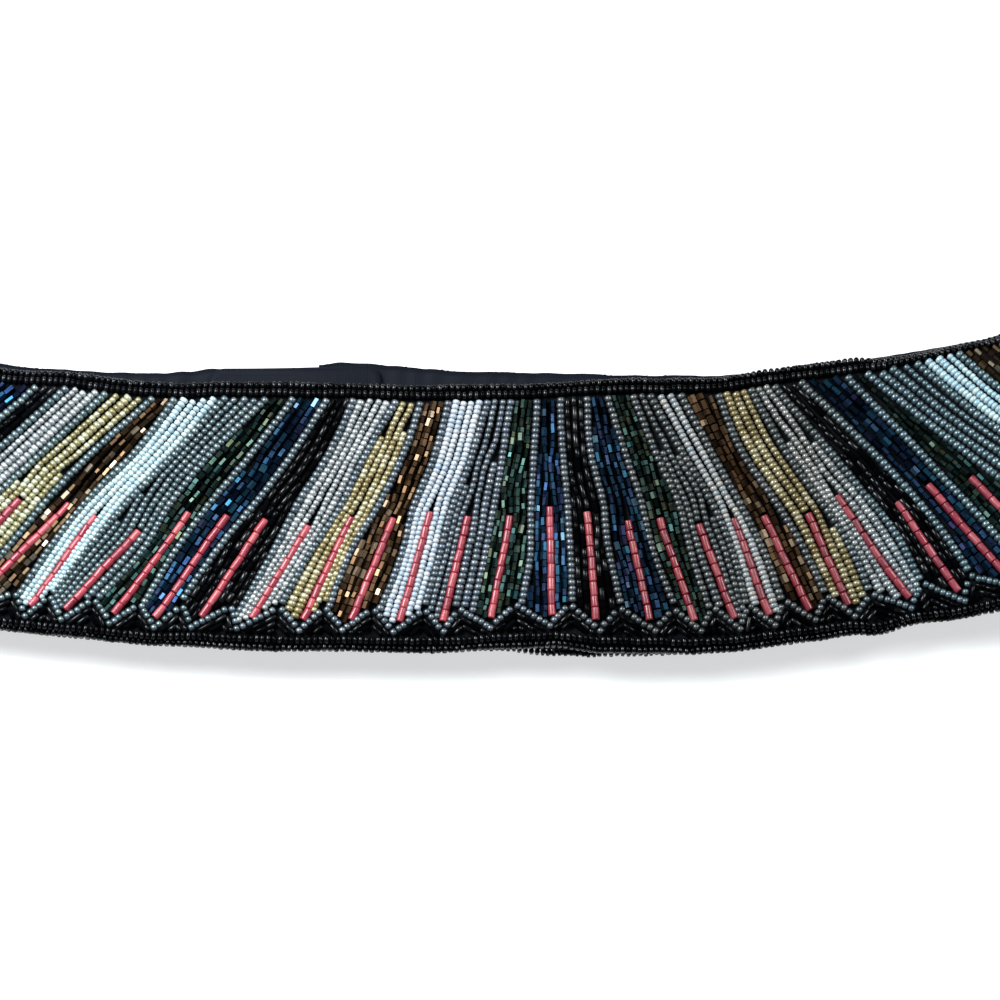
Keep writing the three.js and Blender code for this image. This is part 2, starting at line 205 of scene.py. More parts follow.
SEED = lathe([(-0.5, 0.62), (-0.29, 0.97), (0.29, 0.97), (0.5, 0.62)], 8)
SEED_BACK = lathe([(-0.5, 0.6), (0, 1.0), (0.5, 0.6)], 6)
CUT = lathe([(-0.5, 0.86), (-0.45, 1.0), (0.45, 1.0), (0.5, 0.86)], 6)
CUT_BACK = lathe([(-0.5, 0.95), (0.5, 0.95)], 6)
TUBE = lathe([(-0.5, 0.84), (-0.455, 0.98), (-0.40, 1.0), (0.40, 1.0), (0.455, 0.98), (0.5, 0.84)], 8)
TUBE_BACK = lathe([(-0.5, 0.92), (0.5, 0.92)], 8)
BUGLE = lathe([(-0.5, 0.84), (-0.45, 1.0), (0.45, 1.0), (0.5, 0.84)], 7)
BUGLE_BACK = lathe([(-0.5, 0.95), (0.5, 0.95)], 7)

total_triangles = 0


def rounded(shape, kind):
    """Which faces of a turned shape are shaded smooth: a seed's sides, a tube's long sides, or none."""
    verts, faces, uvs = shape
    sides = len(faces[-1])
    rows = len(verts) // sides
    flags = []
    for j in range(rows - 1):
        flags += [kind == "seed" or kind == "tube" and (rows == 2 or 1 <= j < rows - 2)] * sides
    return flags + [False, False]


def mesh_object(name, verts, loops, starts, smooth, attributes=(), uv=None):
    me = bpy.data.meshes.new(name)
    me.vertices.add(len(verts))
    me.vertices.foreach_set("co", np.ascontiguousarray(verts, np.float32).ravel())
    me.loops.add(len(loops))
    me.loops.foreach_set("vertex_index", np.ascontiguousarray(loops, np.int32))
    me.polygons.add(len(starts))
    me.polygons.foreach_set("loop_start", np.ascontiguousarray(starts, np.int32))
    me.polygons.foreach_set("use_smooth", np.resize(np.array(smooth, bool), len(starts)))
    me.update(calc_edges=True)
    for key, values in attributes:
        me.attributes.new(key, "FLOAT", "POINT").data.foreach_set("value", np.ascontiguousarray(values, np.float32))
    if uv is not None:
        me.uv_layers.new(name="OFBake").uv.foreach_set("vector", np.ascontiguousarray(uv, np.float32).ravel())
    ob = bpy.data.objects.new(name, me)
    bpy.context.scene.collection.objects.link(ob)
    global total_triangles
    total_triangles += len(loops) - 2 * len(starts)
    return ob


def bead_object(name, shape, beads, smooth):
    """One joined mesh of many beads. beads holds arrays: at, across, h, their direction, length, half-width, half-height, roll, rnd, tone."""
    tv, faces, uvs = shape
    sg, ac, h = beads["sigma"], beads["across"], beads["h"]
    c = place(sg, ac, h)
    n = place(sg, ac, h + 0.5) - place(sg, ac, h - 0.5)
    n /= np.linalg.norm(n, axis=1, keepdims=True)
    e = 0.4
    t = place(sg + e * beads["along"], ac + e * beads["down"], h) - place(sg - e * beads["along"], ac - e * beads["down"], h)
    t -= n * (t * n).sum(1, keepdims=True)
    t /= np.linalg.norm(t, axis=1, keepdims=True)
    t += n * beads["pitch"][:, None]
    t /= np.linalg.norm(t, axis=1, keepdims=True)
    b = np.cross(n, t)
    b /= np.linalg.norm(b, axis=1, keepdims=True)
    n = np.cross(t, b)
    co, si = np.cos(beads["roll"])[:, None], np.sin(beads["roll"])[:, None]
    x = (tv[None, :, 0] * co - tv[None, :, 1] * si) * beads["half"][:, None]
    y = (tv[None, :, 0] * si + tv[None, :, 1] * co) * beads["tall"][:, None]
    z = tv[None, :, 2] * beads["length"][:, None]
    v = c[:, None, :] + x[..., None] * b[:, None, :] + y[..., None] * n[:, None, :] + z[..., None] * t[:, None, :]
    count, nv = len(c), len(tv)
    loops = np.concatenate([np.array(f) for f in faces])
    starts = np.concatenate([[0], np.cumsum([len(f) for f in faces])[:-1]])
    nl = len(loops)
    all_loops = (loops[None, :] + nv * np.arange(count)[:, None]).ravel()
    all_starts = (starts[None, :] + nl * np.arange(count)[:, None]).ravel()
    side = math.ceil(math.sqrt(count))
    cell = 1.0 / side
    cu, cv = np.arange(count) % side, np.arange(count) // side
    flat_uv = np.concatenate([np.array(f) for f in uvs])
    uv = np.empty((count, nl, 2))
    uv[:, :, 0] = (cu[:, None] + 0.06 + 0.88 * flat_uv[None, :, 0]) * cell
    uv[:, :, 1] = (cv[:, None] + 0.06 + 0.88 * flat_uv[None, :, 1]) * cell
    attributes = [(key, np.repeat(beads[key], nv)) for key in ("rnd", "tone")]
    attributes.append(("belt", np.repeat(sg / 100.0, nv)))
    return mesh_object(name, (v * MM).reshape(-1, 3), all_loops, all_starts, smooth, attributes, uv.reshape(-1, 2))


KEYS = ("sigma", "across", "h", "along", "down", "pitch", "length", "half", "tall", "roll", "rnd", "tone")
store = {}  # piece kind -> list of dicts of arrays


def keep(kind, **arrays):
    n = len(arrays["sigma"])
    if n == 0:
        return
    full = {k: np.broadcast_to(np.asarray(arrays[k], float), (n,)).copy() for k in arrays}
    full.setdefault("pitch", rng.normal(0, 0.03, n))
    full.setdefault("roll", rng.uniform(0, 2 * math.pi, n))
    full.setdefault("rnd", rng.random(n))
    full.setdefault("tone", rng.random(n))
    inside = (full["sigma"] > SIGMA_LOW + 0.9) & (full["sigma"] < SIGMA_HIGH - 0.9)
    store.setdefault(kind, []).append({k: full[k][inside] for k in KEYS})


# ------------------------------------------------------------------ strands
def lay(kind, sigma, across, spacing, style):
    """Beads along one strand, from its top to its bottom. sigma, across and spacing are arrays along it."""
    if len(sigma) < 3:
        return
    dx = np.diff(sigma) * (1 + (across[1:] + across[:-1]) / 2 / CONTOUR_R)
    ell = np.concatenate([[0], np.cumsum(np.hypot(dx, np.diff(across)))])
    total = ell[-1]
    if total < 0.9:
        return
    short, long, width, tall, gap, wobble, share = style
    lengths = []
    while sum(lengths) < total + long:
        if long > 2 * short:  # cut tubes of mixed length
            lengths.append(short + (long - short) * rng.beta(1.6, 1.9))
        else:
            lengths.append(rng.uniform(short, long))
    lengths = np.array(lengths)
    ends = np.cumsum(lengths)
    n = max(1, int(np.argmin(abs(ends - total))) + 1)
    lengths = lengths[:n] * (total / ends[n - 1])
    mid = np.cumsum(lengths) - lengths / 2
    s, a, room = (np.interp(mid, ell, v) for v in (sigma, across, spacing))
    e = 0.8
    along = np.interp(mid + e, ell, sigma) - np.interp(mid - e, ell, sigma)
    down = np.interp(mid + e, ell, across) - np.interp(mid - e, ell, across)
    size = np.hypot(along, down)
    size[size < 1e-9] = 1
    along, down = along / size, down / size
    half = np.clip(room * 0.5 * share, 0.72, width) * rng.uniform(0.95, 1.01, n)
    keep(
        kind,
        sigma=s + rng.normal(0, wobble, n), across=a + rng.normal(0, wobble * 0.3, n),
        h=5.0 - tall - np.abs(rng.normal(0, 0.05, n)),
        along=along + rng.normal(0, 0.035, n), down=down,
        length=lengths - gap, half=half, tall=tall * rng.uniform(0.96, 1.0, n),
    )


#            shortest, longest, half-width, half-height, gap, wobble, share of the room
STYLES = {
    "grey": (1.38, 1.54, 1.22, 0.94, 0.03, 0.05, 1.0),
    "white": (1.12, 1.30, 1.25, 0.97, 0.0, 0.05, 1.06),
    "gold": (1.22, 1.42, 1.22, 0.95, 0.0, 0.06, 1.05),
    "silver": (1.18, 1.36, 1.22, 0.96, 0.0, 0.06, 1.05),
    "bronze": (1.4, 2.6, 1.05, 0.93, 0.09, 0.08, 1.0),
    "green": (1.3, 2.5, 1.05, 0.92, 0.09, 0.08, 1.0),
    "blue": (1.5, 2.9, 1.08, 0.93, 0.09, 0.07, 1.0),
    "black": (1.9, 3.6, 0.95, 0.90, 0.12, 0.08, 0.95),
    "red": (2.5, 4.0, 1.02, 0.96, 0.03, 0.04, 1.0),
}

LEVELS = np.arange(FIELD_TOP, 28.61, 0.2)


def curve_through(xs, ys, x):
    """A smooth curve through points, straight beyond the first and the last."""
    xs, ys = np.array(xs, float), np.array(ys, float)
    d = np.diff(ys) / np.diff(xs)
    w = np.diff(xs)
    m = np.empty(len(xs))
    m[1:-1] = (d[:-1] * w[1:] + d[1:] * w[:-1]) / (w[1:] + w[:-1])
    m[0], m[-1] = d[0] * 1.5 - m[1] * 0.5, d[-1] * 1.5 - m[-2] * 0.5
    i = np.clip(np.searchsorted(xs, x) - 1, 0, len(xs) - 2)
    t = (x - xs[i]) / w[i]
    inner = (
        ys[i] * (1 + 2 * t) * (1 - t) ** 2 + m[i] * w[i] * t * (1 - t) ** 2
        + ys[i + 1] * t * t * (3 - 2 * t) + m[i + 1] * w[i] * t * t * (t - 1)
    )
    inner = np.where(x < xs[0], ys[0] + m[0] * (x - xs[0]), inner)
    return np.where(x > xs[-1], ys[-1] + m[-1] * (x - xs[-1]), inner)


def make_stripes():
    """The grey strand after each fan: its place at every level."""
    lines = {}
    for k, *row in STRIPES:
        lines[k] = curve_through(STRIPE_LEVELS, [on_front(s) for s in row], LEVELS)
    k = 12
    while lines[k - 1][-1] + FAN_PITCH < SIGMA_HIGH + 60:
        lines[k] = lines[k - 1] + FAN_PITCH
        k += 1
    k = -18
    while lines[k + 1][0] - FAN_PITCH > SIGMA_LOW - 60:
        lines[k] = lines[k + 1] - FAN_PITCH
        k -= 1
    return lines


STRIPE = make_stripes()
FANS = sorted(set(STRIPE) - {min(STRIPE)})
POINT, MEETS = {}, {}
for k in FANS:
    if k in VEES:
        POINT[k], MEETS[k] = on_front(VEES[k][0]), on_front(VEES[k][1])
for k in range(10, FANS[-1] + 1):
    POINT[k], MEETS[k] = MEETS[k - 1] + 0.8 * FAN_PITCH, MEETS[k - 1] + FAN_PITCH
MEETS[-15] = POINT[-14] - 0.3 * FAN_PITCH
for k in range(-15, FANS[0] - 1, -1):
    POINT[k], MEETS[k - 1] = MEETS[k] - 0.7 * FAN_PITCH, MEETS[k] - FAN_PITCH


def scallop_at(sigma):
    xs, ys = [MEETS[FANS[0] - 1]], [VALLEY]
    for k in FANS:
        xs += [POINT[k], MEETS[k]]
        ys += [TIP, VALLEY]
    return np.interp(sigma, xs, ys)


PITCHES = {"bronze": 1.75, "green": 1.72, "blue": 1.85, "black": 1.85, "white": 2.0, "gold": 1.98, "silver": 1.95}


def pitch_across(k):
    """From one strand to the next, across them, in one fan."""
    return PITCHES.get(CYCLE[abs(k) % 8], 2.02) * float(np.interp(k, (1, 5, 9, 12), (1, 1.12, 1.12, 1)))


def perpendicular(width, line):
    slope = np.gradient(line, LEVELS)
    return width * (1 + LEVELS / CONTOUR_R) / np.sqrt(1 + slope**2)


def lay_line(kind, line, start, stop_gap, spacing, jitter=0.0):
    """A strand on a line of the levels, from its start down to the scalloped row."""
    gap = scallop_at(line) - stop_gap - LEVELS
    below = np.nonzero((gap < 0) & (LEVELS > 10))[0]
    last = below[0] if len(below) else len(LEVELS) - 1
    first = int(np.searchsorted(LEVELS, start))
    sel = slice(first, last + 1)
    if last - first < 4:
        return
    ripple = jitter * np.sin(LEVELS[sel] / rng.uniform(2.5, 5) + rng.uniform(0, 6.28))
    lay(kind, line[sel] + ripple, LEVELS[sel].copy(), spacing[sel], STYLES[kind])


def smooth(x):
    x = np.clip(x, 0, 1)
    return x * x * (3 - 2 * x)


for k in sorted(STRIPE):
    room = np.full(len(LEVELS), float(np.interp(k, (1, 5, 10, 13), (2.12, 2.35, 2.35, 2.12))))
    lay_line("grey", STRIPE[k], FIELD_TOP + rng.uniform(0, 0.4), 1.25, room, 0.06)

for k in FANS:
    colour = CYCLE[abs(k) % 8]
    left, right = STRIPE[k - 1], STRIPE[k]
    wide = perpendicular(right - left, (left + right) / 2)
    pitch = pitch_across(k)
    at = lambda level: int(np.searchsorted(LEVELS, level))
    centre = (left + right) / 2
    # the red strand's line
    if k in REDS:
        start, finish = (on_front(REDS[k][0]), REDS[k][1]), on_front(REDS[k][2])
    else:
        level = 1.0 + 1.6 * math.sin(k * 2.4)
        start, finish = (centre[at(level)], level), POINT[k] + (0.9 if k < 0 else -0.9)
    lean0 = np.gradient(centre, LEVELS)[at(start[1])]
    lean1 = (finish - start[0]) / (RED_END - start[1])
    red = curve_through(
        [start[1] - 3, start[1], (start[1] + RED_END) / 2, RED_END, RED_END + 2],
        [start[0] - 3 * lean0, start[0], (start[0] + finish) / 2, finish, finish + 2.2 * lean1],
        LEVELS,
    )
    # below the valleys the strands keep on beside the red one
    turn = at(VALLEY - 1.5)
    left, right = left.copy(), right.copy()
    for line in (left, right):
        line[turn:] = line[turn] + (red[turn:] - red[turn]) * 0.9
    # how many strands lie on each side of the middle at the top
    n_top = max(1, int(round(float(np.median(wide[at(-29): at(-22)])) / pitch - 1)))
    m_top = n_top % 2
    n_left = n_right = (n_top - m_top) // 2
    middle = FIELD_TOP if m_top else start[1]  # the middle strand is red from its start on
    first_red = at(start[1])
    towards = smooth((LEVELS - start[1] + 16) / 16)
    mid = np.where(LEVELS < start[1], centre + (red[first_red] - centre[first_red]) * towards, red)
    # a strand is added to a side once the side has room for it and keeps that room
    sides = []
    for count, width in ((n_left, perpendicular(mid - left, (left + mid) / 2)), (n_right, perpendicular(right - mid, (right + mid) / 2))):
        begun = [FIELD_TOP] * count
        room = width / pitch - np.where(LEVELS >= middle, 1, 0.5)
        for i in range(at(-25), at(18)):
            if min(room[i: i + 16].min() + 0.6, room[i: at(20)].min() + 1.35) >= len(begun) + 1:
                begun.append(LEVELS[i])
        sides.append(begun)
    lefts, rights = sides

    def active(start_level):
        return np.ones(len(LEVELS)) if start_level <= FIELD_TOP else smooth((LEVELS - start_level + 6.0) / 9.5)

    # outer strands come in last, next to the grey ones
    starts = sorted(lefts, reverse=True) + [middle] + sorted(rights)
    weights = np.array([active(s) for s in starts])
    before = np.cumsum(weights, 0) - weights / 2 + 0.5
    share = before / (1 + weights.sum(0))
    lines = left + (right - left) * share
    m = len(lefts)
    natural = lines[m].copy()
    offset = red - natural
    offset = np.where(LEVELS < start[1], offset[first_red] * towards, offset)
    aimed = natural + offset
    for j in range(len(lines)):
        if j < m:
            lines[j] = left + (lines[j] - left) * (aimed - left) / (natural - left)
        elif j > m:
            lines[j] = right - (right - lines[j]) * (right - aimed) / (right - natural)
    lines[m] = aimed
    slots = np.vstack([left, lines, right])
    phase = rng.uniform(0, 0.5)
    for j, start_level in enumerate(starts):
        gaps = np.minimum(slots[j + 1] - slots[j], slots[j + 2] - slots[j + 1])
        room = perpendicular(gaps, lines[j])
        # beside a strand that isn't there yet, the gap is taken from its other neighbours
        room = np.clip(room, 0.80 * pitch, 1.34 * pitch)
        top = start_level + (rng.uniform(0, 0.35) if start_level <= FIELD_TOP else 0) + 0.35 * ((j + k) % 2)
        if j == m:
            if m_top:
                upper = LEVELS < start[1] - 0.35
                sel = upper & (LEVELS >= top)
                lay(colour, lines[j][sel], LEVELS[sel], room[sel], STYLES[colour])
            stop = float(scallop_at(np.interp(RED_END, LEVELS, lines[j]))) - RED_END
            lay_line("red", lines[j], start[1], min(max(stop, 1.0), 2.6), np.full(len(LEVELS), 2.0), 0.05)
        else:
            lay_line(colour, lines[j], top, 1.45, room, 0.07)

# ------------------------------------------------------------------ the scalloped rows
for k in FANS:
    tip = np.array((POINT[k], TIP))
    arms = [(np.array((MEETS[k - 1], VALLEY)), 0.15), (np.array((MEETS[k], VALLEY)), 1.15)]
    first = 0 if tip[0] - arms[0][0][0] > arms[1][0][0] - tip[0] else 1  # the longer arm runs on past the tip
    for which, (a, from_gap) in enumerate(arms):
        d = tip - a
        size = math.hypot(d[0], d[1])
        d /= size
        to_gap = -1.0 if which == first else 1.2
        n = max(2, int(round((size - from_gap - to_gap) / 1.5)))
        t = from_gap + (np.arange(n) + 0.5) * (size - from_gap - to_gap) / n
        keep(
            "point", sigma=a[0] + d[0] * t + rng.normal(0, 0.07, n), across=np.minimum(a[1] + d[1] * t + rng.normal(0, 0.07, n), 28.1),
            h=4.12 - np.abs(rng.normal(0, 0.05, n)), along=d[0] + rng.normal(0, 0.12, n), down=d[1], length=1.38, half=0.88, tall=0.82,
        )

# ------------------------------------------------------------------ the black triangles
rows = []
for k in FANS[:-1]:
    apex = np.array((MEETS[k], VALLEY))
    ends = [np.array((POINT[k], TIP)), np.array((POINT[k + 1], TIP))]
    dirs = [(e - apex) / np.linalg.norm(e - apex) for e in ends]
    middle = dirs[0] + dirs[1]
    middle /= np.linalg.norm(middle)
    for side, d in enumerate(dirs):
        inward = np.array((-d[1], d[0]))
        if inward @ middle < 0:
            inward = -inward
        for lane in range(4):
            off = 1.62 + 1.34 * lane
            # along this lane, from the triangle's middle line to its base
            start = off * (d @ middle) / max(1e-6, abs(inward @ middle)) + rng.uniform(0.1, 0.5)
            stop = (BORDER_END - 0.35 - apex[1] - off * inward[1]) / d[1]
            at_t = start
            while stop - at_t > 1.0:
                long = min(rng.uniform(2.2, 3.5), stop - at_t)
                if stop - at_t - long < 1.0:
                    long = stop - at_t
                c = apex + d * (at_t + long / 2) + inward * off
                rows.append((c[0], c[1], d[0] + rng.normal(0, 0.09), d[1], long - 0.14))
                at_t += long
rows = np.array(rows)
keep(
    "border", sigma=rows[:, 0], across=rows[:, 1], h=4.1 - np.abs(rng.normal(0, 0.10, len(rows))), along=rows[:, 2], down=rows[:, 3],
    length=rows[:, 4], half=0.6, tall=0.66, pitch=rng.normal(0, 0.06, len(rows)),
)


# ------------------------------------------------------------------ the edges
def edge_row(kind, across, h, radius, step, drift):
    sigma, s = [], SIGMA_LOW + 1.0
    while s < SIGMA_HIGH - 1.0:
        sigma.append(s)
        s += step * rng.uniform(0.95, 1.06) / (1 + across / CONTOUR_R)
    sigma = np.array(sigma)
    n = len(sigma)
    wave = drift * (np.sin(sigma / 7.3 + across) + 0.6 * np.sin(sigma / 3.1 + 2 * across))
    keep(
        kind, sigma=sigma, across=across + wave + rng.normal(0, 0.06, n), h=h - np.abs(rng.normal(0, 0.06, n)),
        along=rng.normal(0, 0.12, n), down=1.0, length=radius * 1.9, half=(step - 0.12) / 2, tall=radius * 0.95,
    )


edge_row("upper_face", -31.6, 4.02, 0.90, 1.42, 0.08)
edge_row("lower_face", 30.4, 4.02, 0.90, 1.40, 0.08)
edge_row("upper_rim", -33.65, 3.15, 0.86, 1.42, 0.06)
edge_row("upper_rim", -34.0, 2.1, 0.72, 1.5, 0.05)
edge_row("lower_rim", 32.42, 3.1, 0.86, 1.40, 0.06)
edge_row("lower_rim", 32.5, 2.05, 0.72, 1.48, 0.05)


# ------------------------------------------------------------------ materials
def material(name):
    m = bpy.data.materials.new(name)
    m.use_nodes = True
    nt = m.node_tree
    return m, nt, nt.nodes["Principled BSDF"]


def ramp(nt, fac, stops, smooth_steps=True):
    node = nt.nodes.new("ShaderNodeValToRGB")
    node.color_ramp.interpolation = "LINEAR" if smooth_steps else "CONSTANT"
    els = node.color_ramp.elements
    while len(els) < len(stops):
        els.new(0.5)
    for el, (pos, col) in zip(els, stops):
        el.position = pos
    for el, (pos, col) in zip(els, stops):
        el.color = (*col, 1)
    nt.links.new(fac, node.inputs["Fac"])
    return node.outputs["Color"]


def attribute(nt, name):
    node = nt.nodes.new("ShaderNodeAttribute")
    node.attribute_type = "GEOMETRY"
    node.attribute_name = name
    return node.outputs["Fac"]


def noise(nt, scale, detail=2.0, roughness=0.5, stretch=None):
    coords = nt.nodes.new("ShaderNodeTexCoord")
    out = coords.outputs["Object"]
    if stretch is not None:
        mapping = nt.nodes.new("ShaderNodeMapping")
        mapping.inputs["Scale"].default_value = stretch
        nt.links.new(out, mapping.inputs["Vector"])
        out = mapping.outputs["Vector"]
    node = nt.nodes.new("ShaderNodeTexNoise")
    node.inputs["Scale"].default_value = scale
    node.inputs["Detail"].default_value = detail
    node.inputs["Roughness"].default_value = roughness
    nt.links.new(out, node.inputs["Vector"])
    return node.outputs["Fac"]


def mixed(nt, kind, fac, a, b):
    node = nt.nodes.new("ShaderNodeMix")
    node.data_type = "RGBA"
    node.blend_type = kind
    if isinstance(fac, float):
        node.inputs[0].default_value = fac
    else:
        nt.links.new(fac, node.inputs[0])
    for i, value in ((6, a), (7, b)):
        if isinstance(value, tuple):
            node.inputs[i].default_value = (*value, 1)
        else:
            nt.links.new(value, node.inputs[i])
    return node.outputs[2]


def spread(nt, value, low, high, from_low=0.0, from_high=1.0):
    node = nt.nodes.new("ShaderNodeMapRange")
    node.inputs["From Min"].default_value = from_low
    node.inputs["From Max"].default_value = from_high
    node.inputs["To Min"].default_value = low
    node.inputs["To Max"].default_value = high
    nt.links.new(value, node.inputs["Value"])
    return node.outputs["Result"]


def bump(nt, p, height, strength, distance):
    node = nt.nodes.new("ShaderNodeBump")
    node.inputs["Strength"].default_value = strength
    node.inputs["Distance"].default_value = distance
    nt.links.new(height, node.inputs["Height"])
    nt.links.new(node.outputs["Normal"], p.inputs["Normal"])


def glass_bead(name, stops, metallic, rough, coat, second=None, second_share=0.35, spec=0.5, painted_light=None):
    """Bead glass: a colour from each bead's own number, broken by a fine cloudiness, rough and glossy by another; a
    given table along the belt multiplies in painted light and shade.
    """
    m, nt, p = material(name)
    colour = ramp(nt, attribute(nt, "rnd"), stops)
    cloud = noise(nt, 900.0, 2.0)
    if second is not None:
        colour = mixed(nt, "MIX", spread(nt, cloud, 0.0, second_share, 0.4, 0.75), colour, ramp(nt, attribute(nt, "tone"), second))
    colour = mixed(nt, "MULTIPLY", 1.0, colour, ramp(nt, cloud, [(0.3, (0.72, 0.72, 0.72)), (0.7, (1, 1, 1))]))
    # painted light and shade: the colour is made lighter, darker and tinted by place along the belt, standing in for
    # the lamps' falloff
    if painted_light is not None:
        along = spread(nt, attribute(nt, "belt"), 0.0, 1.0, -1.5, 1.5)
        colour = mixed(nt, "MULTIPLY", 1.0, colour, ramp(nt, along, [((at + 1.5) / 3, tuple(c)) for at, c in painted_light]))
    nt.links.new(colour, p.inputs["Base Color"])
    p.inputs["Metallic"].default_value = metallic
    if isinstance(spec, tuple):
        own = mixed(nt, "MIX", 0.5, attribute(nt, "rnd"), attribute(nt, "tone"))
        nt.links.new(spread(nt, own, *spec, 0.35, 0.8), p.inputs["Specular IOR Level"])
    else:
        p.inputs["Specular IOR Level"].default_value = spec
    p.inputs["Coat Weight"].default_value = coat
    p.inputs["Coat Roughness"].default_value = 0.06
    nt.links.new(spread(nt, attribute(nt, "tone"), rough[0], rough[1]), p.inputs["Roughness"])
    bump(nt, p, noise(nt, 1600.0, 1.0), 0.18, 0.00008)
    return m


# Painted light and shade along the belt: the glass is painted lighter and teal-tinted towards the ends, as if lit by
# the nearer lamps, and painted darker right of the middle, where the lamps' light falls off.
# Place is the length along the belt in tenths of a metre.
PAINTED_LIGHT_GREY_WHITE = [(-1.5, (0.84, 1.0, 1.0)), (-0.6, (0.86, 0.98, 1.0)), (-0.2, (0.86, 0.88, 0.94)), (0.2, (0.80, 0.80, 0.87)), (0.5, (0.51, 0.47, 0.455)), (0.95, (0.48, 0.45, 0.43)), (1.15, (0.56, 0.70, 0.76)), (1.5, (0.72, 0.92, 0.96))]
PAINTED_LIGHT_ALONG_BELT = [(-1.5, (1.08, 1.22, 1.42)), (-0.9, (1.04, 1.14, 1.26)), (-0.45, (1, 1, 1)), (0.2, (0.88, 0.88, 0.9)), (0.5, (0.60, 0.58, 0.56)), (0.95, (0.54, 0.51, 0.48)), (1.15, (0.62, 0.68, 0.72)), (1.5, (0.80, 0.92, 0.96))]

# the same painted light and shade, for the silver and the red glass
PAINTED_LIGHT_SILVER = [(-1.5, (1, 1.03, 1.06))] + PAINTED_LIGHT_ALONG_BELT[2:]
PAINTED_LIGHT_RED = [(-1.5, (1, 1.1, 1.2)), (-0.5, (1, 1, 1)), (0.2, (0.92, 0.90, 0.90)), (0.5, (0.55, 0.52, 0.50)), (0.95, (0.52, 0.48, 0.46)), (1.15, (0.62, 0.64, 0.68)), (1.5, (0.80, 0.86, 0.90))]

MATERIALS = {
    "grey": glass_bead(
        "gunmetal_seed_glass", [(0.0, (0.12, 0.145, 0.155)), (0.5, (0.17, 0.195, 0.205)), (0.8, (0.225, 0.245, 0.25)), (1.0, (0.155, 0.185, 0.215))],
        0.75, (0.38, 0.46), 0.10, spec=0.5, painted_light=PAINTED_LIGHT_GREY_WHITE,
    ),
    "white": glass_bead(
        "pearl_white_seed_glass", [(0.0, (0.40, 0.48, 0.53)), (0.5, (0.52, 0.57, 0.59)), (1.0, (0.66, 0.65, 0.62))],
        0.1, (0.30, 0.42), 0.15, [(0, (0.42, 0.58, 0.72)), (1, (0.72, 0.66, 0.60))], painted_light=PAINTED_LIGHT_GREY_WHITE,
    ),
    "gold": glass_bead(
        "olive_gold_seed_glass", [(0.0, (0.25, 0.195, 0.085)), (0.5, (0.40, 0.335, 0.175)), (1.0, (0.60, 0.55, 0.37))],
        0.5, (0.32, 0.46), 0.1, painted_light=PAINTED_LIGHT_ALONG_BELT,
    ),
    "silver": glass_bead(
        "silver_lined_seed_glass", [(0.0, (0.26, 0.275, 0.28)), (0.5, (0.38, 0.395, 0.40)), (1.0, (0.56, 0.57, 0.57))],
        0.5, (0.30, 0.44), 0.15, painted_light=PAINTED_LIGHT_SILVER,
    ),
    "bronze": glass_bead(
        "bronze_cut_glass", [(0.0, (0.022, 0.011, 0.005)), (0.5, (0.056, 0.030, 0.014)), (0.8, (0.11, 0.065, 0.035)), (1.0, (0.30, 0.22, 0.15))],
        0.95, (0.28, 0.50), 0.0, painted_light=PAINTED_LIGHT_ALONG_BELT,
    ),
    "green": glass_bead(
        "green_iris_cut_glass",
        [(0.0, (0.005, 0.008, 0.007)), (0.45, (0.010, 0.020, 0.016)), (0.7, (0.015, 0.034, 0.031)), (0.85, (0.034, 0.036, 0.016)), (0.96, (0.022, 0.068, 0.07)), (1.0, (0.18, 0.22, 0.15))],
        0.97, (0.26, 0.50), 0.0, [(0, (0.015, 0.032, 0.018)), (0.5, (0.011, 0.042, 0.048)), (1, (0.05, 0.044, 0.016))], 0.5, painted_light=PAINTED_LIGHT_ALONG_BELT,
    ),
    "blue": glass_bead(
        "blue_iris_cut_glass",
        [(0.0, (0.004, 0.007, 0.017)), (0.45, (0.006, 0.015, 0.038)), (0.7, (0.008, 0.030, 0.058)), (0.88, (0.012, 0.056, 0.088)), (0.97, (0.026, 0.022, 0.065)), (1.0, (0.12, 0.26, 0.34))],
        0.97, (0.26, 0.50), 0.0, [(0, (0.006, 0.016, 0.050)), (0.5, (0.008, 0.046, 0.066)), (1, (0.030, 0.022, 0.062))], 0.5, painted_light=PAINTED_LIGHT_ALONG_BELT,
    ),
    "black": glass_bead(
        "jet_cut_glass", [(0.0, (0.0012, 0.0012, 0.0016)), (0.7, (0.0024, 0.0024, 0.003)), (1.0, (0.005, 0.005, 0.0062))], 0.0, (0.12, 0.32), 0.0, spec=(0.0, 0.36), painted_light=PAINTED_LIGHT_ALONG_BELT,
    ),
    "border": glass_bead(
        "jet_border_glass", [(0.0, (0.001, 0.001, 0.0014)), (1.0, (0.003, 0.003, 0.0038))], 0.0, (0.12, 0.30), 0.0, spec=(0.0, 0.30), painted_light=PAINTED_LIGHT_ALONG_BELT,
    ),
    "red": glass_bead(
        "coral_red_tube_glass", [(0.0, (0.22, 0.014, 0.030)), (0.4, (0.31, 0.026, 0.044)), (0.8, (0.40, 0.042, 0.056)), (1.0, (0.46, 0.085, 0.10))],
        0.0, (0.30, 0.46), 0.10, [(0, (0.24, 0.014, 0.038)), (1, (0.48, 0.11, 0.13))], 0.4, spec=0.4, painted_light=PAINTED_LIGHT_RED,
    ),
    "edge": glass_bead(
        "black_seed_glass", [(0.0, (0.0012, 0.0012, 0.0016)), (1.0, (0.0035, 0.0035, 0.0045))], 0.0, (0.13, 0.24), 0.0, spec=(0.05, 0.36), painted_light=PAINTED_LIGHT_ALONG_BELT,
    ),
}


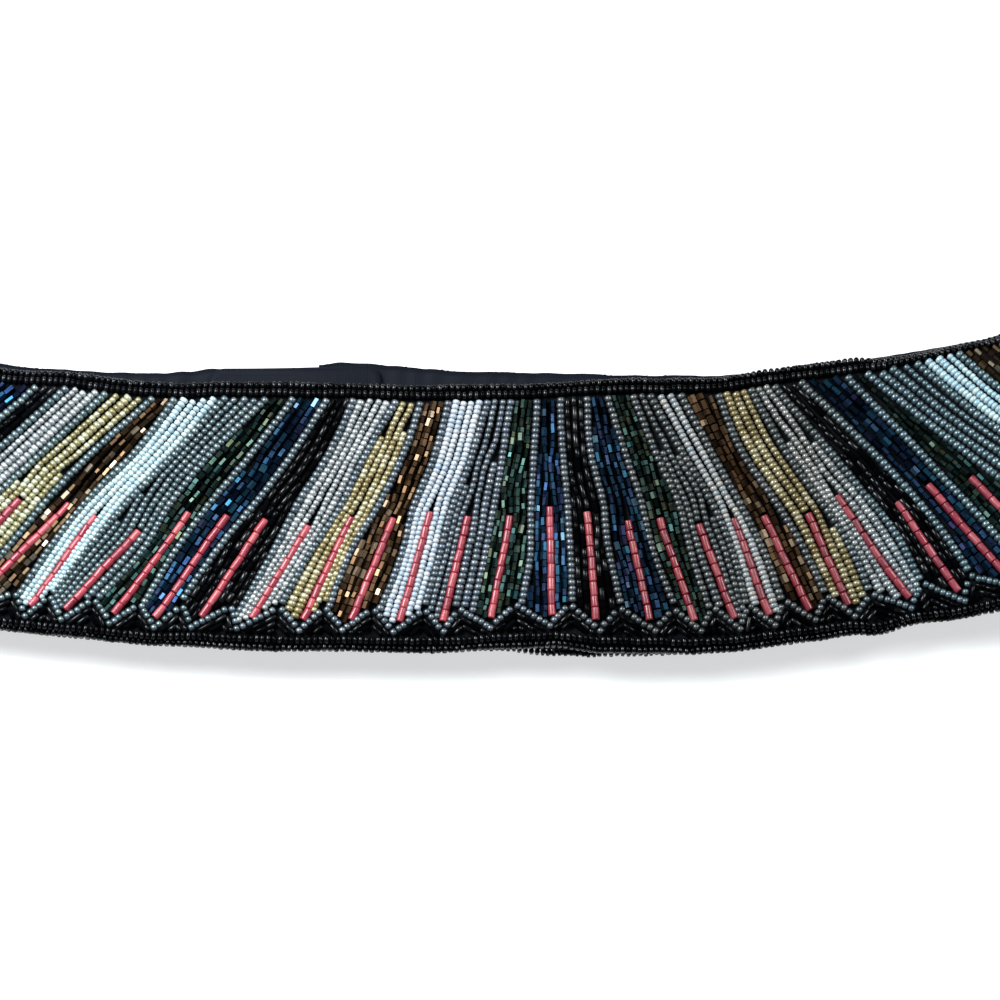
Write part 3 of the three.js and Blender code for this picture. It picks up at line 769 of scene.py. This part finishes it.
def cloth_material(name, base, high, rough, weave_scale, weave_strength, sheen, anisotropic=0.0, spec=0.5):
    m, nt, p = material(name)
    coords = nt.nodes.new("ShaderNodeTexCoord")
    heights = []
    for direction in ("X", "Y"):
        wave = nt.nodes.new("ShaderNodeTexWave")
        wave.bands_direction = direction
        wave.inputs["Scale"].default_value = weave_scale
        wave.inputs["Distortion"].default_value = 0.6
        wave.inputs["Detail"].default_value = 1.0
        nt.links.new(coords.outputs["Object"], wave.inputs["Vector"])
        heights.append(wave.outputs["Fac"])
    both = nt.nodes.new("ShaderNodeMath")
    both.operation = "MULTIPLY"
    nt.links.new(heights[0], both.inputs[0])
    nt.links.new(heights[1], both.inputs[1])
    cloud = noise(nt, 60.0, 3.0)
    colour = mixed(nt, "MIX", spread(nt, cloud, 0.0, 1.0, 0.3, 0.7), base, high)
    colour = mixed(nt, "MULTIPLY", 1.0, colour, ramp(nt, both.outputs[0], [(0.0, (0.72, 0.72, 0.74)), (1.0, (1, 1, 1))]))
    nt.links.new(colour, p.inputs["Base Color"])
    nt.links.new(spread(nt, cloud, rough - 0.06, rough + 0.08), p.inputs["Roughness"])
    p.inputs["Sheen Weight"].default_value = sheen
    p.inputs["Sheen Roughness"].default_value = 0.4
    p.inputs["Anisotropic"].default_value = anisotropic
    p.inputs["Specular IOR Level"].default_value = spec
    bump(nt, p, both.outputs[0], weave_strength, 0.00012)
    return m


SATIN = cloth_material("navy_black_satin", (0.0035, 0.0045, 0.008), (0.006, 0.0075, 0.013), 0.6, 420.0, 0.25, 0.0, 0.3, 0.06)
FELT = cloth_material("black_ground_cloth", (0.0045, 0.005, 0.006), (0.009, 0.010, 0.012), 0.95, 260.0, 0.6, 0.0, 0.0, 0.02)

# ------------------------------------------------------------------ bead pieces
VISIBLE = float(np.interp(HALF_FLAT, FRONT[0], FRONT[1])) + 20.0


def gathered(kind, front):
    parts = store.get(kind, [])
    full = {key: np.concatenate([p[key] for p in parts]) for key in KEYS}
    sel = (abs(full["sigma"]) < VISIBLE) == front
    return {key: full[key][sel] for key in KEYS}


FIELD = ["grey", "white", "gold", "silver", "bronze", "green", "blue", "black", "red", "point"]
SHAPES = {k: (SEED, SEED_BACK, "seed") for k in ("grey", "white", "gold", "silver", "point", "upper_face", "lower_face", "upper_rim", "lower_rim")}
SHAPES |= {k: (CUT, CUT_BACK, "cut") for k in ("bronze", "green", "blue")}
SHAPES |= {k: (BUGLE, BUGLE_BACK, "tube") for k in ("black", "border")}
SHAPES["red"] = (TUBE, TUBE_BACK, "tube")
PIECES = [(k, f"{k}_beads", k if k != "point" else "grey", "field_beads", ["bead_field"]) for k in FIELD]
PIECES.append(("border", "black_border_beads", "border", "black_beads", ["black_bead_border"]))
for side in ("upper", "lower"):
    PIECES.append((f"{side}_face", f"{side}_edge_face_row", "edge", "edge_beads", [f"{side}_edge_face_beads"]))
    PIECES.append((f"{side}_rim", f"{side}_edge_rim_rows", "edge", "edge_beads", [f"{side}_edge_rim_beads"]))
for kind, name, finish, slot, nodes in PIECES:
    for front in (True, False):
        beads = gathered(kind, front)
        shape, shape_back, shading = SHAPES[kind]
        shape = shape if front else shape_back
        before = total_triangles
        ob = bead_object(name + ("_front" if front else "_back"), shape, beads, rounded(shape, shading))
        ob.data.materials.append(MATERIALS[finish])
        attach(ob, "root")
        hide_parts(*nodes)
        print(ob.name, len(beads["sigma"]), "beads", total_triangles - before, "triangles")


# ------------------------------------------------------------------ the cloths
def cloth(name, span, low, high, step, columns, shape):
    """A closed sheet along the whole path: columns across, two faces. shape(sigma, across, face) moves a point out, in millimetres."""
    sigma = np.linspace(SIGMA_LOW, SIGMA_HIGH, int((SIGMA_HIGH - SIGMA_LOW) / step) + 1)
    across = np.linspace(*span, columns)
    rings = []
    outer = np.concatenate([across, across[::-1]])
    face = np.concatenate([np.zeros(columns), np.ones(columns)])
    edge = 1 - np.clip(np.minimum(outer - span[0], span[1] - outer) / 1.2, 0, 1) ** 0.5
    h = np.where(face == 0, low + edge * (high - low) * 0.28, high - edge * (high - low) * 0.28)
    for s in sigma:
        rings.append(place(np.full(len(outer), s), outer, h + shape(s, outer, face)))
    verts = np.concatenate(rings)
    n = len(outer)
    i = np.arange(len(sigma) - 1)[:, None] * n
    j = np.arange(n)[None, :]
    k = (j + 1) % n
    quads = np.stack([i + j, i + n + j, i + n + k, i + k], -1).reshape(-1, 4)
    loops, starts = [quads.ravel()], [np.arange(len(quads)) * 4]
    count = len(quads) * 4
    for base, flip in ((0, False), ((len(sigma) - 1) * n, True)):
        for c in range(columns - 1):
            q = [base + c, base + c + 1, base + n - 2 - c, base + n - 1 - c]
            loops.append(np.array(q[::-1] if flip else q))
            starts.append(np.array([count]))
            count += 4
    ob = mesh_object(name, verts * MM, np.concatenate(loops), np.concatenate(starts), True)
    return ob


def lining_shape(s, across, face):
    near = np.clip((abs(across) - 24) / 8, 0, 1)
    pucker = 0.14 * near * np.sin(s / 0.95 + 1.5 * np.sin(s / 4.1)) + 0.10 * np.sin(s / 9.0 + across / 7.0)
    hem = 0.0
    for line in (LINING[0] + 2.3, LINING[1] - 2.3):  # the hem's stitched groove
        hem = hem - 0.30 * np.exp(-(((across - line) / 0.45) ** 2)) * (0.75 + 0.25 * np.cos(s / 0.33))
    return np.where(face == 0, pucker - 0.05 - hem, 0.0)


def ground_shape(s, across, face):
    return np.where(face == 1, 0.10 * np.sin(s / 1.7 + across) * np.sin(across / 1.3), 0.0)


lining = cloth("lining_cloth", LINING, 0.05, 1.0, 0.8, 43, lining_shape)
lining.data.materials.append(SATIN)
ground = cloth("ground_cloth", GROUND, 1.3, 2.95, 2.2, 33, ground_shape)
ground.data.materials.append(FELT)
for ob, node, slot in ((lining, "lining", "lining"), (ground, "backing_cloth", "backing")):
    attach(ob, "root")
    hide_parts(node)


def tab_object():
    """The closure's satin tab: rounded corners, soft edges, a stitched margin pressed in."""
    a, b, up, low, z0, z1 = -58.0, -13.0, -39.1, 27.2, 5.35, 6.45
    nx, ny = 61, 73
    xs, ys = np.linspace(-1, 1, nx), np.linspace(-1, 1, ny)
    gx, gy = np.meshgrid(xs, ys, indexing="ij")
    mx, my = (b - a) / 2, (low - up) / 2
    px, py = gx * mx, gy * my
    # round the corners by pulling the outer frame in
    r = 4.0
    qx, qy = np.maximum(abs(px) - (mx - r), 0), np.maximum(abs(py) - (my - r), 0)
    d, m = np.hypot(qx, qy), np.maximum(qx, qy)
    k = np.where(d > 1e-9, m / np.maximum(d, 1e-9), 1)
    px = np.sign(px) * (np.minimum(abs(px), mx - r) + qx * k)
    py = np.sign(py) * (np.minimum(abs(py), my - r) + qy * k)
    inset = np.minimum(mx - abs(gx * mx), my - abs(gy * my))
    soft = 0.42 * (1 - np.clip(inset / 0.9, 0, 1)) ** 2
    stitch = 0.16 * np.exp(-(((inset - 2.6) / 0.35) ** 2)) * (0.6 + 0.4 * np.cos((px + py) / 0.42))
    wave = 0.12 * np.sin(px / 5.1 + 0.6 * np.sin(py / 9)) + 0.08 * np.sin(py / 6.3 + px / 11)
    mid_s, mid_a = (a + b) / 2, (up + low) / 2
    s, across = px + mid_s, py + mid_a
    across = across - 1.5 * (px / mx) * (low - across) / (low - up)  # its upper edge slants
    ang = s / CONTOUR_R
    rr = CONTOUR_R + across

    def face(z):
        return np.stack([rr * np.sin(ang), CONTOUR_R - rr * np.cos(ang) + ROW_Y, z], -1).reshape(-1, 3)

    top = face(z1 - soft - stitch + wave * np.clip(inset / 3, 0, 1) - 0.12)
    under = face(z0 + soft * 0.6 + 0.0 * wave)
    verts = np.concatenate([top, under])
    n = nx * ny
    idx = np.arange(n).reshape(nx, ny)
    # x grows with i and the upper edge is +Y, so across runs towards -Y
    q = np.stack([idx[:-1, :-1], idx[:-1, 1:], idx[1:, 1:], idx[1:, :-1]], -1).reshape(-1, 4)
    rim = np.concatenate([idx[:-1, 0], idx[-1, :-1], idx[:0:-1, -1], idx[0, :0:-1]])
    after = np.roll(rim, -1)
    wall = np.stack([rim, after, after + n, rim + n], -1)
    quads = np.concatenate([q, q[:, ::-1] + n, wall])
    ob = mesh_object("satin_closure_tab", verts * MM, quads.ravel(), np.arange(len(quads)) * 4, True)
    ob.data.materials.append(SATIN)
    return ob


tab = tab_object()
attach(tab, "root")
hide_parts("closure_tab")



# ------------------------------------------------------------------ floor, light, camera
floor_mesh = bpy.data.meshes.new("floor")
floor_mesh.from_pydata([(-6, -6, -0.0002), (6, -6, -0.0002), (6, 6, -0.0002), (-6, 6, -0.0002)], [], [(0, 1, 2, 3)])
floor = bpy.data.objects.new("floor", floor_mesh)
bpy.context.scene.collection.objects.link(floor)
m, nt, p = material("pale_floor")
p.inputs["Base Color"].default_value = (0.4, 0.4, 0.4, 1)
p.inputs["Roughness"].default_value = 0.9
p.inputs["Emission Color"].default_value = (1, 1, 1, 1)
p.inputs["Emission Strength"].default_value = 0.62
floor_mesh.materials.append(m)

world = bpy.data.worlds.new("studio")
bpy.context.scene.world = world
world.use_nodes = True
background = world.node_tree.nodes["Background"]
background.inputs["Color"].default_value = (0.74, 0.90, 1.0, 1)
background.inputs["Strength"].default_value = 0.22


def area_light(name, place_at, aim, size, power, colour):
    light = bpy.data.lights.new(name, "AREA")
    light.shape = "RECTANGLE"
    light.size, light.size_y = size
    light.energy = power
    light.color = colour
    ob = bpy.data.objects.new(name, light)
    ob.location = place_at
    ob.rotation_euler = (Vector(aim) - Vector(place_at)).to_track_quat("-Z", "Y").to_euler()
    bpy.context.scene.collection.objects.link(ob)
    return ob


area_light("window_left", (-0.27, 0.18, 0.40), (-0.05, 0, 0), (0.22, 0.26), 5.8, (0.92, 0.98, 1.0))
area_light("window_right", (0.42, 0.18, 0.42), (0.10, 0, 0), (0.20, 0.24), 2.8, (0.92, 0.98, 1.0))

ELEVATION, DISTANCE = math.radians(76.0), 1.2
target = Vector((0.01722, -0.00634, 0.012))
camera = bpy.data.cameras.new("camera")
camera.sensor_width = 36.0
camera.lens = 36.0 * DISTANCE / 0.246
camera_object = bpy.data.objects.new("camera", camera)
camera_object.location = target + Vector((0, -math.cos(ELEVATION), math.sin(ELEVATION))) * DISTANCE
camera_object.rotation_euler = (target - camera_object.location).to_track_quat("-Z", "Y").to_euler()
camera.clip_start = 0.01
bpy.context.scene.collection.objects.link(camera_object)
bpy.context.scene.camera = camera_object
bpy.context.scene.view_settings.view_transform = "Standard"
bpy.context.scene.view_settings.look = "None"

print("triangles in all", total_triangles)
